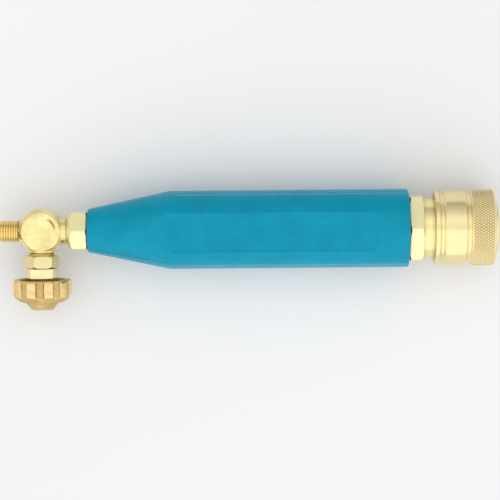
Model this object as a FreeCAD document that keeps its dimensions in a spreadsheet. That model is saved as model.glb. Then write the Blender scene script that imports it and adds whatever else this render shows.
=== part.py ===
# Hand-held gas torch handle: needle valve with a hand wheel, moulded grip, and a quick-connect socket.
#
# Frame: the torch lies on its side. +X runs along its axis and out of the quick-connect socket, whose
# mouth is the origin. -Y runs out along the valve stem to the hand wheel, and +Z is up. Millimetres.
# Every "..._at" size is a distance back from the socket mouth, or out from the torch's axis along the stem.
import FreeCAD, Part
import Sketcher
import math
import os

Vector = FreeCAD.Vector
Rotation = FreeCAD.Rotation
Placement = FreeCAD.Placement

SIZES = {
    # hose inlet thread and valve body
    "overall_length": (210.65, "inlet end to socket mouth"),
    "thread_radius": (4.76, "hose inlet thread, over its crests"),
    "thread_chamfer": (0.6, "lead-in at the end of the inlet thread"),
    "thread_end_at": (202.85, "where the inlet thread runs out"),
    "thread_relief": (0.7, "width of the relief groove behind the thread"),
    "relief_radius": (4.2, "bottom of the relief groove"),
    "inlet_shoulder_radius": (4.7, "plain shoulder between thread and valve body"),
    "inlet_bore_radius": (2.2, "countersunk gas inlet"),
    "inlet_bore_depth": (8.5, "depth of the gas inlet"),
    "inlet_flare_radius": (3.1, "countersink of the gas inlet"),
    "inlet_flare_depth": (0.9, "countersink of the gas inlet"),
    "gas_hole_radius": (1.2, "drilled gas passages in the valve body"),
    "inlet_hole_offset": (1.0, "inlet passage, on the far side of the axis from the stem"),
    "outlet_hole_offset": (2.6, "outlet passage, on the stem's side of the axis"),
    "outlet_hole_start": (2.6, "start of the outlet passage inside the chamber, from the stem's axis"),
    "valve_at": (193.15, "stem axis"),
    "disc_radius": (9.4, "forged valve body"),
    "disc_face_radius": (8.2, "flat face of the forged body"),
    "disc_half_thickness": (5.9, "from the axis to the flat face"),
    "disc_edge_half": (2.3, "from the axis to the start of the rounded rim"),
    "outlet_stub_radius": (5.45, "valve outlet stub"),
    "outlet_stub_end_at": (182.15, "shoulder of the valve outlet"),
    "outlet_nipple_radius": (4.5, "threaded outlet nipple"),
    "outlet_nipple_end_at": (177.25, "end of the outlet nipple"),
    "boss_radius": (5.7, "bonnet boss"),
    "boss_end_at": (9.4, "end face of the bonnet boss, from the torch's axis"),
    "boss_bevel": (0.4, "bevel on the bonnet boss"),
    "seat_hole_start_at": (1.4, "start of the seat orifice, on the far side of the torch's axis"),
    "seat_at": (2.2, "valve seat, from the torch's axis"),
    "seat_radius": (1.1, "valve seat orifice"),
    "chamber_radius": (3.2, "valve chamber"),
    "chamber_end_at": (5.3, "end of the valve chamber"),
    # bonnet, packing and stem
    "gasket_thickness": (1.0, "copper gasket under the bonnet"),
    "gasket_radius": (5.25, "copper gasket"),
    "bonnet_thread_radius": (4.6, "bonnet's threaded shank"),
    "bonnet_shank_at": (5.5, "inner end of the bonnet"),
    "bonnet_hex_at": (10.4, "start of the bonnet's hexagon"),
    "bonnet_hex_end_at": (15.55, "end of the bonnet's hexagon"),
    "bonnet_across_flats": (13.1, "bonnet hexagon"),
    "bonnet_corner_radius": (7.6, "turned radius that trims the bonnet's corners"),
    "bonnet_bevel": (0.8, "bevel on the bonnet's hexagon"),
    "bonnet_turn": (-9.0, "how far the tightened bonnet is turned, degrees"),
    "nipple_radius": (5.2, "bonnet's nipple for the packing nut"),
    "nipple_end_at": (18.9, "end of the bonnet's nipple"),
    "packing_box_radius": (4.4, "packing box"),
    "packing_box_at": (16.6, "floor of the packing box"),
    "packing_end_at": (18.3, "outer face of the packing"),
    "gland_end_at": (19.15, "outer face of the gland washer"),
    "nut_radius": (6.55, "round packing nut"),
    "nut_at": (15.6, "inner face of the packing nut"),
    "nut_cap_at": (19.2, "inside of the packing nut's cap"),
    "nut_end_at": (20.2, "outer face of the packing nut"),
    "nut_bevel": (0.3, "bevels on the packing nut"),
    "stem_radius": (2.9, "stem shaft"),
    "stem_nose_radius": (2.6, "stem nose"),
    "stem_nose_at": (4.0, "inner end of the stem, valve shut"),
    "stem_thread_radius": (3.4, "stem's operating thread, over its crests"),
    "stem_thread_at": (8.0, "start of the operating thread"),
    "stem_thread_end_at": (13.8, "end of the operating thread"),
    "stem_shoulder_at": (30.65, "shoulder at the peened end of the stem"),
    "stem_end_at": (33.95, "peened end of the stem"),
    "peen_radius": (1.6, "peened end of the stem"),
    "peen_bevel": (0.5, "bevel on the peened end"),
    "needle_tip_at": (1.7, "tip of the valve needle"),
    "needle_tip_radius": (0.68, "tip of the valve needle"),
    "needle_radius": (1.8, "body of the valve needle"),
    "needle_cone_end_at": (3.1, "end of the needle's cone"),
    "needle_collar_end_at": (3.9, "end of the needle's collar"),
    "needle_shank_radius": (1.2, "needle's shank, free to turn in the stem"),
    "needle_shank_end_at": (6.6, "end of the needle's shank"),
    "cut_margin": (0.5, "overrun of a cut past the faces it goes through"),
    "running_gap": (0.05, "radial clearance of running fits"),
    "slack": (0.1, "axial play between moving pieces"),
    # hand wheel
    "knob_at": (20.6, "inner rim of the hand wheel"),
    "knob_radius": (12.42, "hand wheel"),
    "knob_rim_edge": (0.9, "rounded edge of the inner rim"),
    "knob_recess_bevel": (0.3, "bevel in the corner of the recess"),
    "knob_side_end_at": (27.3, "end of the hand wheel's straight side"),
    "knob_face_radius": (9.6, "outer face of the hand wheel"),
    "knob_face_at": (29.95, "outer face of the hand wheel"),
    "knob_recess_radius": (9.65, "recess behind the rim"),
    "knob_recess_end_at": (23.4, "floor of the recess"),
    "knob_boss_radius": (4.6, "boss inside the recess"),
    "knob_boss_at": (21.2, "inner end of the boss"),
    "hub_base_radius": (7.5, "hub on the outer face"),
    "hub_radius": (4.75, "outer end of the hub"),
    "hub_end_at": (33.35, "outer end of the hub"),
    "flute_floor": (2.7, "width of a flute's flat floor"),
    "flute_mouth": (4.0, "width of a flute at the wheel's rim"),
    "flute_depth": (1.25, "depth of a flute"),
    # fitting, gas tube and grip
    "fitting_hex_end_at": (173.85, "grip side of the fitting's hexagon"),
    "fitting_across_flats": (15.45, "fitting hexagon"),
    "fitting_corner_radius": (8.7, "turned radius that trims the fitting's corners"),
    "fitting_face_radius": (5.8, "face against the valve"),
    "fitting_bevel": (1.8, "long bevel towards the valve"),
    "fitting_edge": (0.4, "short second bevel at the corners, and the bevel towards the grip"),
    "fitting_shank_radius": (7.0, "shank inside the grip"),
    "fitting_shank_end_at": (166.65, "end of the fitting's shank"),
    "fitting_thread_end_at": (177.05, "bottom of the fitting's threaded bore"),
    "tube_radius": (4.0, "gas tube, outside"),
    "tube_bore_radius": (2.6, "gas tube, inside"),
    "tube_start_at": (176.05, "gas tube, valve end"),
    "tube_end_at": (34.85, "gas tube, socket end"),
    "solder_gap": (0.03, "radial gap of soldered and screwed joints"),
    "grip_start_at": (173.45, "small end of the grip"),
    "grip_small_radius": (9.15, "small end of the grip"),
    "grip_shoulder_at": (138.55, "where the cone meets the round grip"),
    "grip_radius": (16.6, "round grip"),
    "grip_end_at": (37.45, "socket end of the grip"),
    "grip_edge": (0.85, "rounded edge at the small end"),
    "grip_end_bevel": (0.75, "bevel at the socket end"),
    "grip_cavity_radius": (12.0, "moulded hollow"),
    "grip_cavity_end_at": (140.65, "closed end of the hollow"),
    "grip_cavity_taper": (3.4, "length of the cone that closes the hollow"),
    "grip_socket_depth": (7.4, "counterbore for the fitting's shank"),
    "grip_tube_radius": (4.3, "hole for the gas tube"),
    "flat_height": (14.33, "flat thumb panels, from the axis"),
    "flat_end_at": (52.55, "foot of the wall that ends a panel"),
    "flat_wall_run": (3.5, "length of the sloping wall"),
    "washer_bore_radius": (7.1, "fibre washer behind the fitting"),
    "washer_radius": (7.9, "fibre washer behind the fitting"),
    # socket adapter
    "adapter_hex_at": (37.15, "grip side of the socket's hexagon"),
    "adapter_hex_end_at": (31.45, "socket side of the hexagon"),
    "adapter_across_flats": (26.7, "socket hexagon"),
    "adapter_corner_radius": (15.0, "turned radius that trims the hexagon's corners"),
    "adapter_bevel": (0.9, "bevel on both sides of the hexagon"),
    "spigot_radius": (11.9, "spigot inside the grip"),
    "spigot_end_at": (41.65, "end of the spigot"),
    "cushion_radius": (12.9, "rubber washer between grip and hexagon"),
    "screw_radius": (9.4, "adapter's screw thread"),
    "screw_end_at": (24.15, "end of the screw thread"),
    "pocket_radius": (5.5, "pocket for the poppet spring"),
    "pocket_end_at": (29.65, "floor of the pocket"),
    "adapter_seal_at": (30.25, "middle of the adapter's seal"),
    "adapter_seal_groove": (0.65, "half the width of the seal groove"),
    "adapter_seal_wire": (0.6, "section radius of the adapter's seal"),
    "adapter_seal_floor": (8.22, "floor of the seal groove"),
    # socket barrel
    "nose_radius": (11.6, "socket barrel, under the sleeve"),
    "nose_edge": (0.8, "rounded edge of the nose"),
    "mouth_bevel": (0.4, "lead-in of the socket mouth"),
    "mouth_radius": (8.25, "guide bore at the socket mouth"),
    "mouth_end_at": (4.9, "end of the guide bore"),
    "socket_radius": (8.0, "socket bore"),
    "socket_end_at": (11.65, "shoulder in the socket"),
    "seal_bore_radius": (5.6, "bore for the tip's nose"),
    "seal_bore_end_at": (16.65, "end of the seal bore"),
    "tip_seal_at": (14.4, "middle of the tip seal"),
    "tip_seal_groove": (1.15, "half the width of the tip seal's groove"),
    "tip_seal_floor": (7.22, "floor of the tip seal's groove"),
    "tip_seal_wire": (0.95, "section radius of the tip seal"),
    "port_radius": (3.4, "port that the poppet shuts"),
    "port_end_at": (18.15, "seat face of the poppet"),
    "poppet_chamber_radius": (7.0, "poppet chamber"),
    "poppet_chamber_end_at": (23.95, "end of the poppet chamber"),
    "neck_radius": (12.64, "barrel's neck"),
    "neck_step_at": (20.15, "step that carries the sleeve spring"),
    "ball_at": (7.15, "locking balls"),
    "ball_radius": (2.15, "locking ball"),
    "ball_orbit": (9.45, "ball centres when locked, from the axis"),
    "ball_travel": (0.75, "how far a ball moves out"),
    "ball_gap": (0.05, "clearance round a ball"),
    "ball_ledge_at": (8.15, "ledge that keeps a ball in, from the axis"),
    "ball_ledge_radius": (1.75, "opening inside the ledge"),
    "ring_groove_radius": (11.0, "floor of the retaining ring's groove"),
    "ring_groove_at": (4.55, "back of the groove"),
    "ring_thickness": (0.9, "retaining ring"),
    "ring_radius": (12.45, "retaining ring, outside"),
    # sliding sleeve
    "sleeve_start_at": (26.65, "rear edge of the sleeve"),
    "sleeve_front_at": (1.2, "front edge of the sleeve"),
    "sleeve_travel": (4.0, "pull-back of the sleeve"),
    "sleeve_band_radius": (15.8, "plain bands of the sleeve"),
    "sleeve_edge": (0.45, "bevel on the rear edge of the sleeve"),
    "flange_end_at": (25.0, "front of the narrow band at the sleeve's rear edge"),
    "band_start_at": (22.35, "rear of the wide plain band"),
    "band_end_at": (13.85, "front of the wide plain band"),
    "knurl_start_at": (11.05, "rear of the knurled band"),
    "crown_at": (1.95, "front of the knurled band"),
    "sleeve_groove_radius": (14.9, "finger grooves of the sleeve"),
    "groove_side_run": (1.1, "length of a finger groove's sloping side"),
    "groove_corner_run": (0.6, "length of the steep outer part of a groove's side"),
    "groove_corner_rise": (0.2, "height of the shallow inner part of a groove's side"),
    "sleeve_knurl_radius": (16.0, "knurled band, rear"),
    "sleeve_crown_radius": (16.13, "knurled band, front"),
    "sleeve_lip_radius": (15.1, "front edge of the sleeve"),
    "sleeve_mouth_radius": (13.9, "flared rear bore"),
    "sleeve_guide_start_at": (25.65, "start of the guide bore"),
    "sleeve_guide_end_at": (21.15, "end of the guide bore"),
    "sleeve_guide_radius": (12.71, "guide bore, runs on the neck"),
    "spring_room_radius": (13.25, "room for the sleeve spring"),
    "land_at": (10.85, "rear face of the locking land"),
    "land_radius": (11.66, "locking land"),
    "land_front_at": (4.6, "front face of the locking land"),
    "release_radius": (12.65, "room for the balls when released"),
    "sleeve_spring_wire": (0.55, "wire radius of the sleeve spring"),
    "sleeve_spring_orbit": (12.35, "mean radius of the sleeve spring"),
    "sleeve_spring_pitch": (2.3, "pitch of the sleeve spring"),
    # poppet
    "poppet_radius": (6.9, "poppet disc"),
    "poppet_face_at": (18.35, "front face of the poppet disc"),
    "poppet_back_at": (20.95, "back of the poppet disc"),
    "poppet_pin_radius": (1.5, "pin that a tip pushes"),
    "poppet_pin_at": (12.65, "end of the pin"),
    "poppet_tail_radius": (3.2, "tail that centres the spring"),
    "poppet_tail_at": (23.05, "end of the tail"),
    "poppet_notch_radius": (1.4, "gas notches in the disc's rim"),
    "poppet_seal_orbit": (4.7, "middle of the poppet seal"),
    "poppet_seal_wire": (0.6, "section radius of the poppet seal"),
    "poppet_spring_wire": (0.48, "wire radius of the poppet spring"),
    "poppet_spring_orbit": (4.4, "mean radius of the poppet spring"),
    "poppet_spring_pitch": (1.8, "pitch of the poppet spring"),
}

FLUTES = 10
BALLS = 6
NOTCHES = 4
RING_OPENING = 36.0  # degrees left open in the retaining ring
EASE = 0.3  # a rounded edge is drawn as two flats, which meet this share of it in from both faces
TRIM_RATIO = 1.3  # outer circle of a hexagon's cut, against the radius that trims the corners

doc = FreeCAD.newDocument("torch_handle")
sheet = doc.addObject("Spreadsheet::Sheet", "Dims")
for row, (alias, (number, meaning)) in enumerate(SIZES.items(), 1):
    sheet.set(f"A{row}", alias)
    sheet.set(f"B{row}", str(number))
    sheet.set(f"C{row}", meaning)
    sheet.setAlias(f"B{row}", alias)
doc.recompute()


class Size:
    """A length worked out from the sheet: its number, and the expression that gives it."""

    def __init__(self, number, text):
        self.number = number
        self.text = text

    def __add__(self, other):
        other = as_size(other)
        return Size(self.number + other.number, f"({self.text} + {other.text})")

    def __sub__(self, other):
        other = as_size(other)
        return Size(self.number - other.number, f"({self.text} - {other.text})")

    def __mul__(self, other):
        other = as_size(other)
        return Size(self.number * other.number, f"({self.text} * {other.text})")

    def __truediv__(self, other):
        other = as_size(other)
        return Size(self.number / other.number, f"({self.text} / {other.text})")

    def __neg__(self):
        return Size(-self.number, f"(-1 * {self.text})")

    def __radd__(self, other):
        return as_size(other) + self

    def __rsub__(self, other):
        return as_size(other) - self

    def __rmul__(self, other):
        return as_size(other) * self


def as_size(value):
    if isinstance(value, Size):
        return value
    return Size(float(value), f"{float(value):.6f}")


class Dims:
    """Reads the sheet: dims.neck_radius is that cell as a Size."""

    def __getattr__(self, alias):
        return Size(float(sheet.get(alias)), f"Dims.{alias}")


dims = Dims()


def bind(thing, path, size):
    """Ties a property to the sheet."""
    thing.setExpression(path, as_size(size).text)


# ---- sketches and features ------------------------------------------------------------------------------


def new_body(name, placement=None):
    body = doc.addObject("PartDesign::Body", name)
    body.Label = name
    if placement is not None:
        body.Placement = placement
    return body


def new_sketch(body, name, plane, lift=None):
    """A sketch on one of the body's own origin planes, lifted along its normal if asked."""
    drawing = body.newObject("Sketcher::SketchObject", name)
    origin_plane = next(f for f in body.Origin.OriginFeatures if f.Role == plane)
    drawing.AttachmentSupport = [(origin_plane, "")]
    drawing.MapMode = "FlatFace"
    if lift is not None:
        drawing.AttachmentOffset = Placement(Vector(0, 0, as_size(lift).number), Rotation())
        bind(drawing, "AttachmentOffset.Base.z", lift)
    return drawing


def hold_point(drawing, line, a, b):
    """Fixes the start of a line at (a, b), by sheet expressions."""
    for kind, number, axis, size in (
        ("DistanceX", 0, -2, as_size(a)),
        ("DistanceY", 0, -1, as_size(b)),
    ):
        if size.number == number:
            drawing.addConstraint(Sketcher.Constraint("PointOnObject", line, 1, axis))
            continue
        index = drawing.addConstraint(Sketcher.Constraint(kind, -1, 1, line, 1, size.number))
        drawing.setExpression(f"Constraints[{index}]", size.text)


def draw_outline(drawing, points):
    """A closed outline of straight lines through points given as sizes."""
    first = drawing.GeometryCount
    corners = [Vector(as_size(a).number, as_size(b).number, 0) for a, b in points]
    count = len(corners)
    for i in range(count):
        drawing.addGeometry(Part.LineSegment(corners[i], corners[(i + 1) % count]), False)
    for i in range(count):
        follower = first + (i + 1) % count
        drawing.addConstraint(Sketcher.Constraint("Coincident", first + i, 2, follower, 1))
    for i, (a, b) in enumerate(points):
        hold_point(drawing, first + i, a, b)


def draw_circle(drawing, radius, a=0.0, b=0.0):
    """A circle of that radius round the point (a, b)."""
    a, b, radius = as_size(a), as_size(b), as_size(radius)
    centre = Vector(a.number, b.number, 0)
    index = drawing.addGeometry(Part.Circle(centre, Vector(0, 0, 1), radius.number), False)
    size_row = drawing.addConstraint(Sketcher.Constraint("Radius", index, radius.number))
    drawing.setExpression(f"Constraints[{size_row}]", radius.text)
    for kind, axis, size in (("DistanceX", -2, a), ("DistanceY", -1, b)):
        if size.number == 0:
            drawing.addConstraint(Sketcher.Constraint("PointOnObject", index, 3, axis))
            continue
        row = drawing.addConstraint(Sketcher.Constraint(kind, -1, 1, index, 3, size.number))
        drawing.setExpression(f"Constraints[{row}]", size.text)


def hexagon(across_flats, turn=0.0):
    """The six corners of a hexagon, one of them turned from the first sketch axis by turn degrees."""
    across_corners = as_size(across_flats) / math.cos(math.radians(30))
    corners = []
    for i in range(6):
        angle = math.radians(60 * i + turn)
        corners.append((across_corners * (math.cos(angle) / 2), across_corners * (math.sin(angle) / 2)))
    return corners


def turn_feature(body, name, points, cut=False, plane="XY_Plane", about="H_Axis"):
    """Turns an outline about an axis of its sketch: adds material, or cuts a groove or a bore."""
    drawing = new_sketch(body, name + "_outline", plane)
    draw_outline(drawing, points)
    before = body.Shape.Volume if cut else 0.0
    feature = body.newObject("PartDesign::Groove" if cut else "PartDesign::Revolution", name)
    feature.Profile = drawing
    feature.ReferenceAxis = (drawing, [about])
    feature.Angle = 360.0
    doc.recompute()
    if cut and not body.Shape.Volume < before - 1e-6:
        raise RuntimeError(f"{name} cuts nothing")
    return feature


def pocket_feature(body, name, drawing, length, symmetric=False):
    """Cuts a sketch's area out of the body, to a length ahead of the sketch's plane or across it."""
    before = body.Shape.Volume
    feature = body.newObject("PartDesign::Pocket", name)
    feature.Profile = drawing
    feature.Type = "Length"
    feature.Length = as_size(length).number
    bind(feature, "Length", length)
    if symmetric:
        feature.SideType = "Symmetric"
    feature.Reversed = True
    doc.recompute()
    if not body.Shape.Volume < before - 1e-6:
        raise RuntimeError(f"{name} cuts nothing")
    return feature


def repeat_feature(body, feature, count):
    """Repeats a feature evenly round the body's X axis."""
    before = body.Shape.Volume
    pattern = body.newObject("PartDesign::PolarPattern", feature.Name + "_ring")
    pattern.Originals = [feature]
    x_axis = next(f for f in body.Origin.OriginFeatures if f.Role == "X_Axis")
    pattern.Axis = (x_axis, [""])
    pattern.Angle = 360.0
    pattern.Occurrences = count
    body.Tip = pattern
    doc.recompute()
    if not body.Shape.Volume < before - 1e-6:
        raise RuntimeError(f"{pattern.Name} repeats nothing")


def hexagon_cut(body, name, across_flats, trim_radius, start, length, turn=0.0):
    """Cuts a turned collar down to a hexagon, from start along X."""
    drawing = new_sketch(body, name + "_outline", "YZ_Plane", lift=start)
    draw_circle(drawing, trim_radius * TRIM_RATIO)
    draw_outline(drawing, hexagon(across_flats, turn))
    pocket_feature(body, name, drawing, length=length)


def turned(name, points, placement=None):
    """A body that is one outline turned about X."""
    body = new_body(name, placement)
    turn_feature(body, name + "_turning", points)
    return body


def ring(name, inner, outer, start, end, placement=None):
    """A plain washer or tube from start to end along X."""
    return turned(name, [(start, inner), (end, inner), (end, outer), (start, outer)], placement)


def o_ring(name, orbit, wire, at):
    """A seal ring round X, as a torus."""
    seal = doc.addObject("Part::Torus", name)
    seal.Label = name
    bind(seal, "Radius1", orbit)
    bind(seal, "Radius2", wire)
    seal.Placement = Placement(Vector(as_size(at).number, 0, 0), Rotation(Vector(0, 1, 0), 90))
    bind(seal, "Placement.Base.x", at)
    return seal


def coil_spring(name, orbit, wire, pitch, start, end):
    """A round wire wound round X between two planes, start the lower one."""
    helix = doc.addObject("Part::Helix", name + "_line")
    height = end - start - wire * 2
    bind(helix, "Radius", orbit)
    bind(helix, "Pitch", pitch)
    bind(helix, "Height", height)
    section = doc.addObject("Part::Circle", name + "_section")
    bind(section, "Radius", wire)
    section.Placement = Placement(Vector(orbit.number, 0, 0), Rotation(Vector(1, 0, 0), 90))
    bind(section, "Placement.Base.x", orbit)
    spring = doc.addObject("Part::Sweep", name)
    spring.Label = name
    spring.Spine = (helix, [])
    spring.Sections = [section]
    spring.Solid = True
    spring.Frenet = True
    spring.Placement = Placement(Vector((start + wire).number, 0, 0), Rotation(Vector(0, 1, 0), 90))
    bind(spring, "Placement.Base.x", start + wire)
    return spring


# Pieces of the valve are drawn with X along the stem, and stand at the valve on the torch's axis.
on_stem = Placement(Vector(-dims.valve_at.number, 0, 0), Rotation(Vector(0, 0, 1), -90))

parts = []


def keep(piece):
    """Adds a finished sub-part to the torch."""
    parts.append(piece)
    return piece


def keep_on_stem(body):
    bind(body, "Placement.Base.x", -dims.valve_at)
    return keep(body)


# ---- valve ----------------------------------------------------------------------------------------------


def make_valve_body():
    """Forged body: a thick disc, with the hose inlet, the outlet stub and the bonnet boss."""
    body = new_body("valve_body", Placement(Vector(-dims.valve_at.number, 0, 0), Rotation()))
    bind(body, "Placement.Base.x", -dims.valve_at)
    disc = [
        (0.0, -dims.disc_half_thickness),
        (dims.disc_face_radius, -dims.disc_half_thickness),
        (dims.disc_radius, -dims.disc_edge_half),
        (dims.disc_radius, dims.disc_edge_half),
        (dims.disc_face_radius, dims.disc_half_thickness),
        (0.0, dims.disc_half_thickness),
    ]
    turn_feature(body, "disc", disc, plane="XZ_Plane", about="V_Axis")
    inlet_end = dims.valve_at - dims.overall_length
    thread_end = dims.valve_at - dims.thread_end_at
    relief_end = thread_end + dims.thread_relief
    outlet_shoulder = dims.valve_at - dims.outlet_stub_end_at
    outlet_end = dims.valve_at - dims.outlet_nipple_end_at
    run = [
        (inlet_end, 0.0),
        (inlet_end, dims.thread_radius - dims.thread_chamfer),
        (inlet_end + dims.thread_chamfer, dims.thread_radius),
        (thread_end, dims.thread_radius),
        (thread_end, dims.relief_radius),
        (relief_end, dims.relief_radius),
        (relief_end, dims.inlet_shoulder_radius),
        (-dims.boss_radius, dims.inlet_shoulder_radius),
        (dims.boss_radius, dims.outlet_stub_radius),
        (outlet_shoulder, dims.outlet_stub_radius),
        (outlet_shoulder, dims.outlet_nipple_radius),
        (outlet_end, dims.outlet_nipple_radius),
        (outlet_end, 0.0),
    ]
    turn_feature(body, "inlet_and_outlet", run)
    boss = [
        (0.0, 0.0),
        (dims.boss_radius, 0.0),
        (dims.boss_radius, dims.boss_bevel - dims.boss_end_at),
        (dims.boss_radius - dims.boss_bevel, -dims.boss_end_at),
        (0.0, -dims.boss_end_at),
    ]
    turn_feature(body, "boss", boss, about="V_Axis")
    bonnet_bore = dims.bonnet_thread_radius + dims.solder_gap
    stem_bores = [
        (0.0, dims.seat_hole_start_at),
        (dims.seat_radius, dims.seat_hole_start_at),
        (dims.seat_radius, -dims.seat_at),
        (dims.chamber_radius, -dims.seat_at),
        (dims.chamber_radius, -dims.chamber_end_at),
        (bonnet_bore, -dims.chamber_end_at),
        (bonnet_bore, -dims.boss_end_at - dims.cut_margin),
        (0.0, -dims.boss_end_at - dims.cut_margin),
    ]
    turn_feature(body, "seat_and_chamber", stem_bores, cut=True, about="V_Axis")
    bore_end = inlet_end + dims.inlet_bore_depth
    countersink = [
        (inlet_end, 0.0),
        (inlet_end, dims.inlet_flare_radius),
        (inlet_end + dims.inlet_flare_depth, dims.inlet_bore_radius),
        (bore_end, dims.inlet_bore_radius),
        (bore_end, 0.0),
    ]
    turn_feature(body, "inlet_bore", countersink, cut=True)
    inlet = new_sketch(body, "inlet_hole_outline", "YZ_Plane", lift=bore_end - dims.cut_margin)
    draw_circle(inlet, dims.gas_hole_radius, dims.inlet_hole_offset)
    pocket_feature(body, "inlet_hole", inlet, length=dims.cut_margin - bore_end)
    outlet = new_sketch(body, "outlet_hole_outline", "YZ_Plane", lift=dims.outlet_hole_start)
    draw_circle(outlet, dims.gas_hole_radius, -dims.outlet_hole_offset)
    pocket_feature(body, "outlet_hole", outlet, length=outlet_end)
    return keep(body)


def make_bonnet():
    """Hexagonal bonnet that carries the stem's thread and the packing box."""
    hex_at, hex_end = dims.bonnet_hex_at, dims.bonnet_hex_end_at
    trim, bevel = dims.bonnet_corner_radius, dims.bonnet_bevel
    thread_bore = dims.stem_thread_radius + dims.running_gap
    bonnet = turned(
        "bonnet",
        [
            (dims.bonnet_shank_at, thread_bore),
            (dims.bonnet_shank_at, dims.bonnet_thread_radius),
            (hex_at, dims.bonnet_thread_radius),
            (hex_at, trim - bevel),
            (hex_at + bevel, trim),
            (hex_end - bevel, trim),
            (hex_end, trim - bevel),
            (hex_end, dims.nipple_radius),
            (dims.nipple_end_at, dims.nipple_radius),
            (dims.nipple_end_at, dims.packing_box_radius),
            (dims.packing_box_at, dims.packing_box_radius),
            (dims.packing_box_at, thread_bore),
        ],
        on_stem,
    )
    turn = float(sheet.get("bonnet_turn"))
    hexagon_cut(bonnet, "bonnet_hexagon", dims.bonnet_across_flats, trim, hex_at, hex_end - hex_at, turn)
    keep_on_stem(bonnet)


def make_packing():
    """Copper gasket under the bonnet, packing ring, gland washer and packing nut."""
    gasket_start = dims.bonnet_hex_at - dims.gasket_thickness
    shank_bore = dims.bonnet_thread_radius + dims.slack
    keep_on_stem(
        ring("bonnet_gasket", shank_bore, dims.gasket_radius, gasket_start, dims.bonnet_hex_at, on_stem)
    )
    packing_bore = dims.stem_radius + dims.running_gap
    keep_on_stem(
        ring(
            "stem_packing",
            packing_bore,
            dims.packing_box_radius,
            dims.packing_box_at,
            dims.packing_end_at,
            on_stem,
        )
    )
    gland_bore, gland_radius = dims.stem_radius + dims.slack, dims.packing_box_radius - dims.running_gap
    keep_on_stem(
        ring("gland_washer", gland_bore, gland_radius, dims.packing_end_at, dims.gland_end_at, on_stem)
    )
    nut_thread = dims.nipple_radius + dims.solder_gap
    edge = dims.nut_bevel
    nut = turned(
        "packing_nut",
        [
            (dims.nut_at, nut_thread),
            (dims.nut_at, dims.nut_radius - edge),
            (dims.nut_at + edge, dims.nut_radius),
            (dims.nut_end_at - edge, dims.nut_radius),
            (dims.nut_end_at, dims.nut_radius - edge),
            (dims.nut_end_at, dims.stem_radius + 2 * dims.slack),
            (dims.nut_cap_at, dims.stem_radius + 2 * dims.slack),
            (dims.nut_cap_at, nut_thread),
        ],
        on_stem,
    )
    keep_on_stem(nut)


def make_stem():
    """Stem with its operating thread, and the loose needle in its nose, which never turns."""
    shank_bore = dims.needle_shank_radius + dims.running_gap
    stem = turned(
        "valve_stem",
        [
            (dims.stem_nose_at, shank_bore),
            (dims.stem_nose_at, dims.stem_nose_radius),
            (dims.stem_thread_at, dims.stem_nose_radius),
            (dims.stem_thread_at, dims.stem_thread_radius),
            (dims.stem_thread_end_at, dims.stem_thread_radius),
            (dims.stem_thread_end_at, dims.stem_radius),
            (dims.stem_shoulder_at, dims.stem_radius),
            (dims.stem_shoulder_at, dims.peen_radius),
            (dims.stem_end_at - dims.peen_bevel, dims.peen_radius),
            (dims.stem_end_at, dims.peen_radius - dims.peen_bevel),
            (dims.stem_end_at, 0.0),
            (dims.needle_shank_end_at + 2 * dims.slack, 0.0),
            (dims.needle_shank_end_at + 2 * dims.slack, shank_bore),
        ],
        on_stem,
    )
    keep_on_stem(stem)
    needle = turned(
        "valve_needle",
        [
            (dims.needle_tip_at, 0.0),
            (dims.needle_tip_at, dims.needle_tip_radius),
            (dims.needle_cone_end_at, dims.needle_radius),
            (dims.needle_collar_end_at, dims.needle_radius),
            (dims.needle_collar_end_at, dims.needle_shank_radius),
            (dims.needle_shank_end_at, dims.needle_shank_radius),
            (dims.needle_shank_end_at, 0.0),
        ],
        on_stem,
    )
    keep_on_stem(needle)


def make_knob():
    """Cast hand wheel: a dished rim with flutes, a hub, and a stepped bore for the stem."""
    gap = dims.solder_gap
    bevel, edge = dims.knob_recess_bevel, dims.knob_rim_edge
    knob = turned(
        "knob",
        [
            (dims.knob_boss_at, dims.stem_radius + gap),
            (dims.knob_boss_at, dims.knob_boss_radius),
            (dims.knob_recess_end_at, dims.knob_boss_radius),
            (dims.knob_recess_end_at, dims.knob_recess_radius - bevel),
            (dims.knob_recess_end_at - bevel, dims.knob_recess_radius),
            (dims.knob_at, dims.knob_recess_radius),
            (dims.knob_at, dims.knob_radius - edge),
            (dims.knob_at + EASE * edge, dims.knob_radius - EASE * edge),
            (dims.knob_at + edge, dims.knob_radius),
            (dims.knob_side_end_at, dims.knob_radius),
            (dims.knob_face_at, dims.knob_face_radius),
            (dims.knob_face_at, dims.hub_base_radius),
            (dims.hub_end_at, dims.hub_radius),
            (dims.hub_end_at, dims.peen_radius + gap),
            (dims.stem_shoulder_at + gap, dims.peen_radius + gap),
            (dims.stem_shoulder_at + gap, dims.stem_radius + gap),
        ],
        on_stem,
    )
    flute = new_sketch(knob, "flute_outline", "YZ_Plane", lift=dims.knob_at - dims.cut_margin)
    floor = dims.knob_radius - dims.flute_depth
    beyond = dims.knob_radius + dims.cut_margin
    slope = (dims.flute_mouth - dims.flute_floor) / (2 * dims.flute_depth)
    half_top = dims.flute_floor / 2 + slope * (beyond - floor)
    draw_outline(
        flute,
        [
            (-dims.flute_floor / 2, floor),
            (dims.flute_floor / 2, floor),
            (half_top, beyond),
            (-half_top, beyond),
        ],
    )
    feature = pocket_feature(knob, "flute", flute, length=dims.hub_end_at - dims.knob_at)
    repeat_feature(knob, feature, FLUTES)
    keep_on_stem(knob)


# ---- grip and gas tube ----------------------------------------------------------------------------------


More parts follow.
